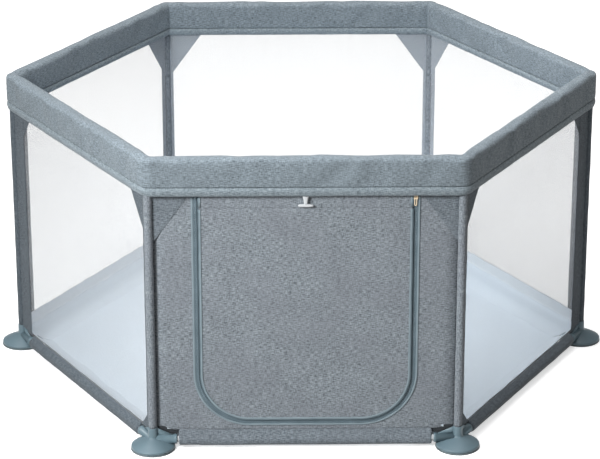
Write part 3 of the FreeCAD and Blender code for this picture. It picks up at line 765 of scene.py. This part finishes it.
def buildHemEnds(k, side):
    # short strips that close the wall above each foot's arm, near black as painted shade of the hem's open
    # tunnel
    look = hemEnd["front" if k == 0 else "others"]
    for sign in (-1, 1):
        x0, x1 = sorted((
            sign * (bottomHem["halfLength"] - hemEnd["overlap"]), sign * (legCircle / 2 - hemEnd["legGap"]),
        ))
        bm = newMesh()
        wallGrid(bm, x0, x1, look["top"] - look["height"], look["top"], -wallLine + look["inset"], 6, 3)
        flatWeave(bm)
        finishSheet(
            "hem_end_" + side + endName(sign), bm, paintedShadeCloth, ["bottom_hems"], hemEnd["thickness"],
            turn=sideTurn(k),
        )


def buildBottomHems():
    half = bottomHem["halfLength"]
    for k, side in enumerate(sideNames):
        look = bottomHem["front" if k == 0 else "others"]
        low, high, wave = look["low"], look["high"], look["wave"]
        bm = newMesh()
        profile = roundedOutline(
            look["halfWidth"], low + bottomHem["seamGap"], high, bottomHem["lowRadius"],
            bottomHem["highRadius"], bottomHem["swell"], steps=(6, 4),
        )
        places = [
            Matrix.Translation((-half + 2 * half * i / bottomHem["steps"], -legLine, 0))
            for i in range(bottomHem["steps"] + 1)
        ]
        sweep(bm, profile, places, caps=True)
        for vert in bm.verts:
            # the cloth narrows above the tube, to the line where the wall is sewn in
            share = (vert.co.z - low) / (high - low)
            narrow = max(0, share - look["narrow"]) / (1 - look["narrow"])
            middle = -legLine + bottomHem["seamInset"] * narrow
            vert.co.y = middle + (vert.co.y + legLine) * (1 - bottomHem["seamShare"] * narrow)
            outward = math.copysign(1, vert.co.y - middle)
            spot = Vector((vert.co.x * 26, outward * 4 + k * 9, vert.co.z * 55))
            vert.co.y += outward * noise.noise(spot) * wave
            vert.co.z += noise.noise(Vector((vert.co.x * 9, k * 2, 5))) * wave
        # the side towards the pen is the pale lining
        bmesh.ops.recalc_face_normals(bm, faces=bm.faces)
        bm.normal_update()
        for face in bm.faces:
            face.material_index = 1 if face.normal.y > 0.6 else 0
        covering = hemCloth if k == 0 else bandCloth
        piece = finishPiece(
            "bottom_hem_" + side, bm, covering, "frame", ["bottom_hems"], sideTurn(k)
        )
        piece.data.materials.append(floorCloth)
        subdivide(piece)
        buildHemEnds(k, side)


buildBottomHems()
print("bottom hems made")


mat = {"inset": 0.004, "low": 0.0028, "thickness": 0.004, "wave": 0.0009, "waveSize": 0.16, "corner": 0.624}


def buildFloorSheet():
    line = legLine - mat["inset"]
    height = Matrix.Translation((0, 0, mat["low"] + mat["thickness"] / 2))
    bm = newMesh()
    bmesh.ops.create_circle(
        bm, cap_ends=True, cap_tris=True, segments=6, radius=line / math.cos(turnStep / 2),
        matrix=height @ Matrix.Rotation(turnStep / 2, 4, "Z"),
    )
    bmesh.ops.subdivide_edges(bm, edges=bm.edges[:], cuts=23, use_grid_fill=True)
    for k in range(6):
        along = sideTurn(k) @ Vector((1, 0, 0))
        bmesh.ops.bisect_plane(
            bm, geom=bm.verts[:] + bm.edges[:] + bm.faces[:], plane_co=along * mat["corner"],
            plane_no=along, clear_outer=True,
        )
    flatWeave(bm, "y")
    ripple(bm, mat["wave"], mat["waveSize"], Vector((0, 0, 1)), 4)
    finishSheet(
        "floor_sheet", bm, floorCloth, ["floor_mat"], mat["thickness"] - 2 * mat["wave"],
        area=clothArea(bm),
    )


skirt = {
    # distance into the pen and height, from the floor sheet up to the wall
    "outline": (
        (0.060, 0.0046), (0.048, 0.0068), (0.036, 0.0098), (0.026, 0.0140), (0.018, 0.0215),
        (0.0130, 0.0310), (0.0060, 0.0385), (0.0025, 0.0402), (0.0021, 0.0470), (0.0018, 0.0690),
    ),
    "lowSides": ("front_right", "front_left"), "lowRows": 8, "paintedLightSides": ("back_right", "back", "back_left"),
    "steps": 80, "gap": 0.003, "legGap": 0.0262, "frontGap": 0.032, "wallFrom": 0.036, "paintedLightFrom": 0.0402,
    "wave": 0.0009, "thickness": 0.0012,
}


def buildSkirt():
    # the edge of the floor sheet climbs over the bottom tubes and is sewn to the walls
    length = legCircle - skirt["legGap"]
    for k, side in enumerate(sideNames):
        wallHalf = legCircle / 2 - skirt["frontGap"] if side == "front" else length / 2
        bm = newMesh()
        rows = skirt["lowRows"] if side in skirt["lowSides"] else len(skirt["outline"])
        profile = [Vector((0, inward - wallLine, z)) for inward, z in skirt["outline"][:rows]]
        places = [Matrix.Translation((-1 + 2 * i / skirt["steps"], 0, 0)) for i in range(skirt["steps"] + 1)]
        sweep(bm, profile, places, closedProfile=False)
        for vert in bm.verts:
            half = -vert.co.y * math.tan(turnStep / 2) - skirt["gap"]
            onWall = vert.co.z > skirt["wallFrom"]
            vert.co.x *= min(half, wallHalf) if onWall else half
            wave = noise.noise(Vector((vert.co.x * 24, k * 3.3, vert.co.z * 30)))
            vert.co.z += wave * skirt["wave"] * (1 if vert.co.z < skirt["wallFrom"] else 2)
        flatWeave(bm)
        # on the far sides the upright band above the floor takes the paler copy: painted light
        for face in bm.faces:
            pale = side in skirt["paintedLightSides"] and face.calc_center_median().z > skirt["paintedLightFrom"]
            face.material_index = 1 if pale else 0
        piece = finishSheet(
            "floor_skirt_" + side, bm, floorCloth, ["floor_mat"], skirt["thickness"],
            turn=sideTurn(k), area=clothArea(bm),
        )
        piece.data.materials.append(paintedLightEdgeCloth)


buildFloorSheet()
buildSkirt()
print("floor sheet made")


def doorOutline(half, low, top, radius, arcSteps, straightSteps):
    # points and directions down one side, round, along the bottom and up the other side
    rise, run = top - low - radius, 2 * (half - radius)
    left, down, right = Vector((-1, 0, 0)), Vector((0, 0, -1)), Vector((1, 0, 0))
    points = [(Vector((-half, 0, top - rise * i / straightSteps)), left) for i in range(straightSteps)]
    for sign, start in ((-1, 180), (1, 270)):
        centre = Vector((sign * (half - radius), 0, low + radius))
        for i in range(arcSteps + 1):
            a = math.radians(start + 90 * i / arcSteps)
            away = Vector((math.cos(a), 0, math.sin(a)))
            points.append((centre + radius * away, away))
        if sign < 0:
            for i in range(1, straightSteps):
                points.append((Vector((-run / 2 + run * i / straightSteps, 0, low)), down))
    for i in range(1, straightSteps + 1):
        points.append((Vector((half, 0, low + radius + rise * i / straightSteps)), right))
    return points


def buildFrontPanel():
    outline = doorOutline(
        door["openHalf"] + door["openEase"], door["openLow"], wallHigh.z, door["openRadius"],
        door["arcSteps"], door["straightSteps"],
    )
    plane = Vector((0, -wallLine, 0))
    bm = newMesh()
    inner, outer = [], []
    for point, away in outline:
        reaches = []
        if abs(away.x) > 0.001:
            reaches.append((wallHigh.x - abs(point.x)) / abs(away.x))
        if away.z < -0.001:
            reaches.append((wallLow.z - point.z) / away.z)
        inner.append(bm.verts.new(point + plane))
        outer.append(bm.verts.new(point + away * min(reaches) + plane))
    edges = [bm.edges.new(pair) for row in (inner, outer) for pair in zip(row, row[1:])]
    across = bmesh.ops.bridge_loops(bm, edges=edges)["edges"]
    bmesh.ops.subdivide_edges(bm, edges=across, cuts=9, use_grid_fill=True)
    flatWeave(bm)
    area = clothArea(bm)
    ripple(bm, door["wave"], door["waveSize"], Vector((0, 1, 0)), 11, panelFade)
    for vert in bm.verts:
        dip = max(0, 1 - (wallHigh.x - abs(vert.co.x)) / door["sideFoldReach"])
        vert.co.y += door["sideFold"] * dip
    finishSheet(
        "front_cloth", bm, cloth, ["front_panel"], door["panelThickness"],
        area=area,
    )


def buildFrontStrips():
    # the header over the door, its backing behind the hinge line, and the closing behind each front leg
    half, leg = door["flapHalf"], legCircle / 2
    seam, (under, over) = door["seam"], door["backing"]
    top = flapHigh.z
    backingLine = flapLine - door["backingDepth"]
    strips = [
        # name, left, right, low, high, distance from the pen's middle, thickness, squares each way
        ("door_header", -half, half, top + seam, wallHigh.z - seam, flapLine, door["clothThickness"], 60, 6),
        ("header_backing", -half, half, top + under, top + over, backingLine, lining["thickness"], 60, 2),
    ]
    for sign in (-1, 1):
        x0, x1 = sorted((sign * (leg - lining["inside"]), sign * (leg + lining["outside"])))
        strips.append((
            "front_lining" + endName(sign), x0, x1, wallLow.z, wallHigh.z, wallLine - lining["depth"],
            lining["thickness"], 3, 40,
        ))
    for name, x0, x1, low, high, line, thickness, stepsX, stepsZ in strips:
        bm = newMesh()
        wallGrid(bm, x0, x1, low, high, -line, stepsX, stepsZ)
        flatWeave(bm)
        finishSheet(name, bm, cloth, ["front_panel"], thickness)


def buildDoorFlap():
    radius, low = door["flapRadius"], flapLow.z
    bm = newMesh()
    wallGrid(bm, -1, 1, flapLow.z, flapHigh.z, -flapLine, 48, 72)
    for vert in bm.verts:
        half = door["flapHalf"]
        if vert.co.z < low + radius:
            # rows crowd towards the bottom so that the round corner is even
            share = (vert.co.z - low) / radius
            vert.co.z = low + radius * (1 - math.cos(share * math.pi / 2))
            half -= radius * (1 - math.sin(share * math.pi / 2))
        vert.co.x *= half
    flatWeave(bm)
    area = clothArea(bm)
    stillX, stillZ = door["stillEdge"]

    def fade(point):
        side = min(1, (door["flapHalf"] - abs(point.x)) / stillX)
        return side * min(1, (flapHigh.z - point.z) / stillZ) * min(1, (point.z - flapLow.z) / stillZ)

    ripple(bm, door["slack"], door["slackSize"], Vector((0, 1, 0)), 21, fade)
    ripple(bm, door["pucker"], door["puckerSize"], Vector((0, 1, 0)), 22, fade)
    finishSheet(
        "door_cloth", bm, cloth, ["door_flap"], door["clothThickness"],
        body="door", area=area,
    )


def doorPlaces(top, y, arcSteps, straightSteps, pulse=0.0):
    # places along the zip, their Z towards the door's middle and their Y into the pen
    outline = doorOutline(zipLine["half"], zipLine["low"], top, zipLine["radius"], arcSteps, straightSteps)
    points = [point for point, away in outline]
    inward = Vector((0, 1, 0))
    places = []
    for i, point in enumerate(points):
        ahead = (points[min(i + 1, len(points) - 1)] - points[max(i - 1, 0)]).normalized()
        size = 1 + pulse * (1 if i % 2 else -1)
        places.append(facing(ahead, inward * size, ahead.cross(inward) * size, Vector((point.x, y, point.z))))
    return places


def buildHeaderTapes(name, material, profile, y):
    # the door's half of the zip carries on up the header, clear of the hinge
    low = flapHigh.z + zipLine["headerGap"]
    inward = Vector((0, 1, 0))
    for sign in (-1, 1):
        bm = newMesh()
        ahead = Vector((0, 0, sign))
        places = [
            facing(ahead, inward, ahead.cross(inward), Vector((sign * zipLine["half"], y, z)))
            for z in sorted((low, zipLine["top"]), reverse=sign < 0)
        ]
        sweep(bm, profile, places, caps=True)
        finishPiece(name + "_header" + endName(sign), bm, material, "frame")


def buildZip():
    stripe, reach = zipLine["stripeWidth"], zipLine["tapeHalf"]
    teethDepth, teethWidth = zipLine["teethHalf"]
    rows = (
        # name, body, material, from, to, distance in front of the body's cloth, half thickness
        ("zip_edge_outer", "frame", edgeTape, -reach, stripe - reach, 0.0021, 0.0007),
        ("zip_tape_outer", "frame", tapeCloth, stripe - reach - 0.0003, -teethWidth, 0.0017, 0.0004),
        ("zip_tape_inner", "door", tapeCloth, 0.0040, reach - stripe + 0.0003, 0.0012, 0.0004),
        ("zip_tape_back", "frame", tapeCloth, 0.0022, 0.0110, 0.0003, 0.0004),
        ("zip_edge_inner", "door", edgeTape, reach - stripe, reach, 0.0016, 0.0007),
    )
    for name, body, material, start, end, front, half in rows:
        y = -front - (wallLine if body == "frame" else flapLine)
        top = zipLine["top"] if body == "frame" else flapHigh.z - zipLine["hingeGap"]
        bm = newMesh()
        profile = roundedOutline(half, start, end, half * 0.7, half * 0.7, 0, steps=(2, 1), stepsRound=2)
        sweep(bm, profile, doorPlaces(top, y, 24, 40), caps=True)
        finishPiece(name, bm, material, body)
        if body == "door":
            buildHeaderTapes(name, material, profile, y)
    bm = newMesh()
    profile = roundedOutline(
        teethDepth, -teethWidth, teethWidth, 0.0007, 0.0007, 0, steps=(2, 1), stepsRound=2
    )
    arc = math.ceil(zipLine["radius"] * math.pi / 2 / zipLine["toothPitch"])
    places = doorPlaces(zipLine["top"], -wallLine - zipLine["teethDepth"], arc, 420, zipLine["toothPulse"])
    sweep(bm, profile, places, caps=True)
    finishPiece("zip_teeth", bm, tapeCloth, "frame", ["zip_track"], smooth=False)


buildFrontPanel()
buildFrontStrips()
buildDoorFlap()
buildZip()
print("front wall, door and zip made")


def roundBlock(bm, low, high, radius, segments=3):
    # block between two corners with every edge rounded
    middle = (Vector(low) + Vector(high)) / 2
    size = Vector(high) - Vector(low)
    place = Matrix.Translation(middle) @ Matrix.Diagonal((*size, 1))
    made = bmesh.ops.create_cube(bm, size=1, matrix=place)["verts"]
    edges = {e for v in made for e in v.link_edges}
    bmesh.ops.bevel(
        bm, geom=list(edges), offset=radius, offset_type="OFFSET", affect="EDGES",
        segments=segments, profile=0.5, material=-1,
    )


slider = {
    "frontShare": 0.35, "bodyRadius": 0.0011, "earPlace": 0.0029, "earHalf": 0.0009, "earRadius": 0.0006,
    "earFoot": 0.0022, "earHead": 0.0014, "earSink": 0.001, "wireHalf": (0.0008, 0.0011), "pullSteps": 40,
}
toggle = {
    "edgeRadius": 0.0006, "loopSteps": 12, "loopWidth": 1.6, "loopNarrowing": 0.75,
    "rodSteps": 24, "rodSides": 20, "rodTaper": 0.12,
}


def buildSlider():
    low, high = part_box("zip_slider")
    front = low.y + (high.y - low.y) * slider["frontShare"]
    bm = newMesh()
    roundBlock(bm, (low.x, front, low.z), high, slider["bodyRadius"])
    for sign in (-1, 1):
        ear = (low.x + high.x) / 2 + sign * slider["earPlace"]
        earLow = (ear - slider["earHalf"], low.y, low.z + slider["earFoot"])
        earHigh = (ear + slider["earHalf"], front + slider["earSink"], high.z - slider["earHead"])
        roundBlock(bm, earLow, earHigh, slider["earRadius"])
    finishPiece("slider_body", bm, zipMetal, "zip_slider", ["zip_slider"])
    low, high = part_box("zip_pull")
    depth, wire = slider["wireHalf"]
    half, inward = (high - low) / 2, Vector((0, 1, 0))
    count = slider["pullSteps"]
    bm = newMesh()
    profile = roundedOutline(depth, -wire, wire, 0.0006, 0.0006, 0, steps=(1, 1), stepsRound=3)
    points = []
    for i in range(count):
        a = 2 * math.pi * i / count
        x, z = (math.copysign(abs(part) ** 0.5, part) for part in (math.cos(a), math.sin(a)))
        points.append((low + high) / 2 + Vector(((half.x - wire) * x, 0, (half.z - wire) * z)))
    places = []
    for i, point in enumerate(points):
        ahead = (points[(i + 1) % count] - points[i - 1]).normalized()
        places.append(facing(ahead, inward, ahead.cross(inward), point))
    sweep(bm, profile, places, closedPath=True)
    finishPiece("slider_pull", bm, zipMetal, "zip_pull", ["zip_pull"])


def buildToggle():
    low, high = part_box("toggle_stem")
    size, middle, radius = high - low, (low + high) / 2, toggle["edgeRadius"]
    bm = newMesh()
    profile = roundedOutline(size.y / 2, -1, 1, radius, radius, 0, steps=(3, 6), stepsRound=2)
    places = []
    for i in range(toggle["loopSteps"] + 1):
        share = i / toggle["loopSteps"]
        half = size.x / 2 * (toggle["loopWidth"] - toggle["loopNarrowing"] * math.sin(share * math.pi / 2))
        spot = Vector((middle.x, middle.y, high.z - size.z * share))
        places.append(facing(Vector((0, 0, -1)), Vector((0, 1, 0)), Vector((half, 0, 0)), spot))
    sweep(bm, profile, places, caps=True)
    finishPiece("toggle_loop", bm, toggleWhite, "toggle", ["toggle_stem"])
    low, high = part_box("toggle_bar")
    size, middle = high - low, (low + high) / 2
    bm = newMesh()
    places = []
    for i in range(toggle["rodSteps"] + 1):
        share = -1 + 2 * i / toggle["rodSteps"]
        girth = math.sqrt(max(0.02, 1 - abs(share) ** 6)) * (1 - toggle["rodTaper"] * abs(share))
        places.append(
            Matrix.Translation(middle + Vector((size.x / 2 * share, 0, 0)))
            @ Matrix.Diagonal((1, girth * size.y / size.z, girth, 1))
        )
    sweep(bm, circleOutline(size.z / 2, toggle["rodSides"]), places, caps=True)
    finishPiece("toggle_rod", bm, toggleWhite, "toggle", ["toggle_bar"])


buildSlider()
buildToggle()
print("slider and toggle made")


foot = {
    # radius and height down the outside; the sets of five are arcs: centre, radius, start and end angle
    "boss": ((0, 0.050), (0.0088, 0.050)), "bossEdge": (0.0092, 0.0488, 0.0012, 90, 0),
    "bossSide": (0.0106, 0.044), "shoulder": (0.0166, 0.0300, 0.0058, 180, 247),
    "slope": ((0.0255, 0.0210), (0.0355, 0.0163), (0.0430, 0.0119)), "rim": (0.0455, 0.0068, 0.0035, 60, 0),
    "under": ((0.0490, 0.0006), (0.0484, 0.0001), (0, 0.0001)),
    "armRadius": 0.01045, "armReach": 0.054, "armHeight": 0.022, "steps": 64,
    "collar": ((-0.050, 1), (-0.006, 1), (-0.0056, 1.06), (-0.0006, 1.06), (0, 1)),
    "rib": ((0.009, 0.0475), (0.0125, 0.0475), (0.044, 0.0325), (0.044, 0.029), (0.009, 0.029)),
    "ribThickness": 0.0028,
}
cup = {
    "edgeIn": 0.0028, "edge": (-0.0024, -0.0022, 0.0022, 80, 0),
    "lip": ((0, 0.0006), (-0.0006, 0.0001), (-0.004, 0.0004)),
    "hollow": ((0.7, 0.0017), (0.35, 0.0024), (0, 0.0026)),
}


def spinShape(bm, outline, steps):
    verts = [bm.verts.new((r, 0, z)) for r, z in outline]
    edges = [bm.edges.new(pair) for pair in zip(verts, verts[1:])]
    bmesh.ops.spin(
        bm, geom=verts + edges, cent=(0, 0, 0), axis=(0, 0, 1), angle=2 * math.pi, steps=steps,
        use_merge=True, use_duplicate=False,
    )
    bmesh.ops.remove_doubles(bm, verts=bm.verts[:], dist=0.000005)


def arcPoints(centreR, centreZ, radius, start, end, steps):
    turns = [math.radians(start + (end - start) * i / steps) for i in range(steps + 1)]
    return [(centreR + radius * math.cos(a), centreZ + radius * math.sin(a)) for a in turns]


def buildArm(bm, turn):
    # a socket for a bottom tube, with an upright rib between it and the boss
    reach, half = foot["armReach"], foot["ribThickness"] / 2
    aim = Matrix.Rotation(math.radians(turn), 4, "Z") @ Matrix.Translation((0, 0, foot["armHeight"]))
    places = [
        aim @ Matrix.Translation((reach + x, 0, 0)) @ Matrix.Diagonal((1, size, size, 1))
        for x, size in foot["collar"]
    ]
    sweep(bm, circleOutline(foot["armRadius"], 32), places, caps=True)
    verts = [bm.verts.new(aim @ Vector((x, -half, z - foot["armHeight"]))) for x, z in foot["rib"]]
    made = bmesh.ops.extrude_face_region(bm, geom=[bm.faces.new(verts)])["geom"]
    side = aim.to_3x3() @ Vector((0, 2 * half, 0))
    bmesh.ops.translate(bm, vec=side, verts=[g for g in made if isinstance(g, bmesh.types.BMVert)])


def buildFeet():
    rim, radius = cupHigh.z, (cupHigh.y - cupLow.y) / 2
    footOutline = [
        *foot["boss"], *arcPoints(*foot["bossEdge"], 3), foot["bossSide"], *arcPoints(*foot["shoulder"], 6),
        *foot["slope"], *arcPoints(*foot["rim"], 4), *((r, rim + z) for r, z in foot["under"]),
    ]
    edgeR, edgeZ, edgeRadius, start, end = cup["edge"]
    cupOutline = [
        (0, rim), (radius - cup["edgeIn"], rim),
        *arcPoints(radius + edgeR, rim + edgeZ, edgeRadius, start, end, 4),
        *((radius + r, z) for r, z in cup["lip"]), *((radius * share, z) for share, z in cup["hollow"]),
    ]
    for k, corner in enumerate(cornerNames):
        place = sideTurn(k) @ Matrix.Translation((legCircle, 0, 0))
        bm = newMesh()
        spinShape(bm, footOutline, foot["steps"])
        for turn in (120, 240):
            buildArm(bm, turn)
        connector = "base_connector_" + corner
        finishPiece("foot_" + corner, bm, footPlastic, "frame", [connector], place)
        bm = newMesh()
        spinShape(bm, cupOutline, foot["steps"])
        finishPiece("cup_" + corner, bm, cupRubber, "frame", ["suction_cup_" + corner], place)


buildFeet()
print("feet made")


def finishFrameParts():
    finishes = (
        ("leg_tube", tubePaint), ("top_tube", tubePaint), ("bottom_tube", tubePaint),
        ("top_corner", cornerPlastic), ("foot_screws", screwSteel),
    )
    for name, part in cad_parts.items():
        for start, material in finishes:
            if name.startswith(start):
                for slot in part.material_slots:
                    slot.material = material
                part.data.polygons.foreach_set("use_smooth", [True] * len(part.data.polygons))


finishFrameParts()


def buildStage():
    material, tree, shader = nodeMaterial("studio floor")
    coords = node(tree, "ShaderNodeTexCoord").outputs["Object"]
    colour = mixColour(tree, plainNoise(tree, coords, 2), (0.93, 0.93, 0.93), (0.95, 0.95, 0.95))
    tree.links.new(colour, shader.inputs["Base Color"])
    setInputs(shader, {"Roughness": 0.9, "Specular IOR Level": 0.1, "Emission Strength": 0.55})
    shader.inputs["Emission Color"].default_value = (1, 1, 1, 1)
    bm = bmesh.new()
    bmesh.ops.create_grid(bm, x_segments=8, y_segments=8, size=20)
    mesh = bpy.data.meshes.new("studio_floor")
    bm.to_mesh(mesh)
    bm.free()
    mesh.materials.append(material)
    floor = bpy.data.objects.new("studio_floor", mesh)
    bpy.context.scene.collection.objects.link(floor)
    floor.visible_diffuse = False


lights = {
    # place, what it points at, width, watts, colour, spread in degrees
    "key light": ((-1.9, -2.6, 2.1), (0, -0.65, 0.4), 1.1, 23, (0.98, 1.0, 1.0), 75),
    "top light": ((-0.4, 0.2, 4.6), (0, 0, 0), 3.4, 140, (0.98, 0.99, 1.0), 180),
}
floorSpot = {"place": (0.30, 0.02, 1.25), "tilt": 4, "watts": 36, "cone": 52, "softness": 0.3}
studio = {"colour": (1.0, 0.985, 0.96, 1), "strength": 0.28}


def placeLight(name, data, place, turn):
    light = bpy.data.objects.new(name, data)
    light.location = place
    light.rotation_euler = turn
    bpy.context.scene.collection.objects.link(light)


def buildLights():
    for name, (place, target, size, watts, colour, spreadAngle) in lights.items():
        data = bpy.data.lights.new(name, "AREA")
        data.shape = "DISK"
        data.size = size
        data.energy = watts
        data.spread = math.radians(spreadAngle)
        data.color = colour
        placeLight(name, data, place, (Vector(target) - Vector(place)).to_track_quat("-Z", "Y").to_euler())
    spot = bpy.data.lights.new("floor light", "SPOT")
    spot.energy = floorSpot["watts"]
    spot.spot_size = math.radians(floorSpot["cone"])
    spot.spot_blend = 1.0
    spot.shadow_soft_size = floorSpot["softness"]
    tilt = math.radians(floorSpot["tilt"])
    placeLight("floor light", spot, floorSpot["place"], (tilt, tilt, 0))
    world = bpy.data.worlds.new("studio")
    world.use_nodes = True
    background = world.node_tree.nodes["Background"]
    setInputs(background, {"Color": studio["colour"], "Strength": studio["strength"]})
    bpy.context.scene.world = world


camera = {
    "place": (-0.0847, -5.8027, 2.551), "turn": -0.836, "down": 21.27, "lens": 155.3, "shift": -0.0027,
}


def buildCamera():
    data = bpy.data.cameras.new("camera")
    data.lens = camera["lens"]
    data.sensor_width = 36
    data.shift_x = camera["shift"]
    data.clip_end = 100
    view = bpy.data.objects.new("camera", data)
    view.location = camera["place"]
    view.rotation_euler = (math.radians(90 - camera["down"]), 0, math.radians(camera["turn"]))
    bpy.context.scene.collection.objects.link(view)
    bpy.context.scene.camera = view
    bpy.context.scene.view_settings.view_transform = "Standard"


buildStage()
buildLights()
buildCamera()
print("stage, lights and camera set")
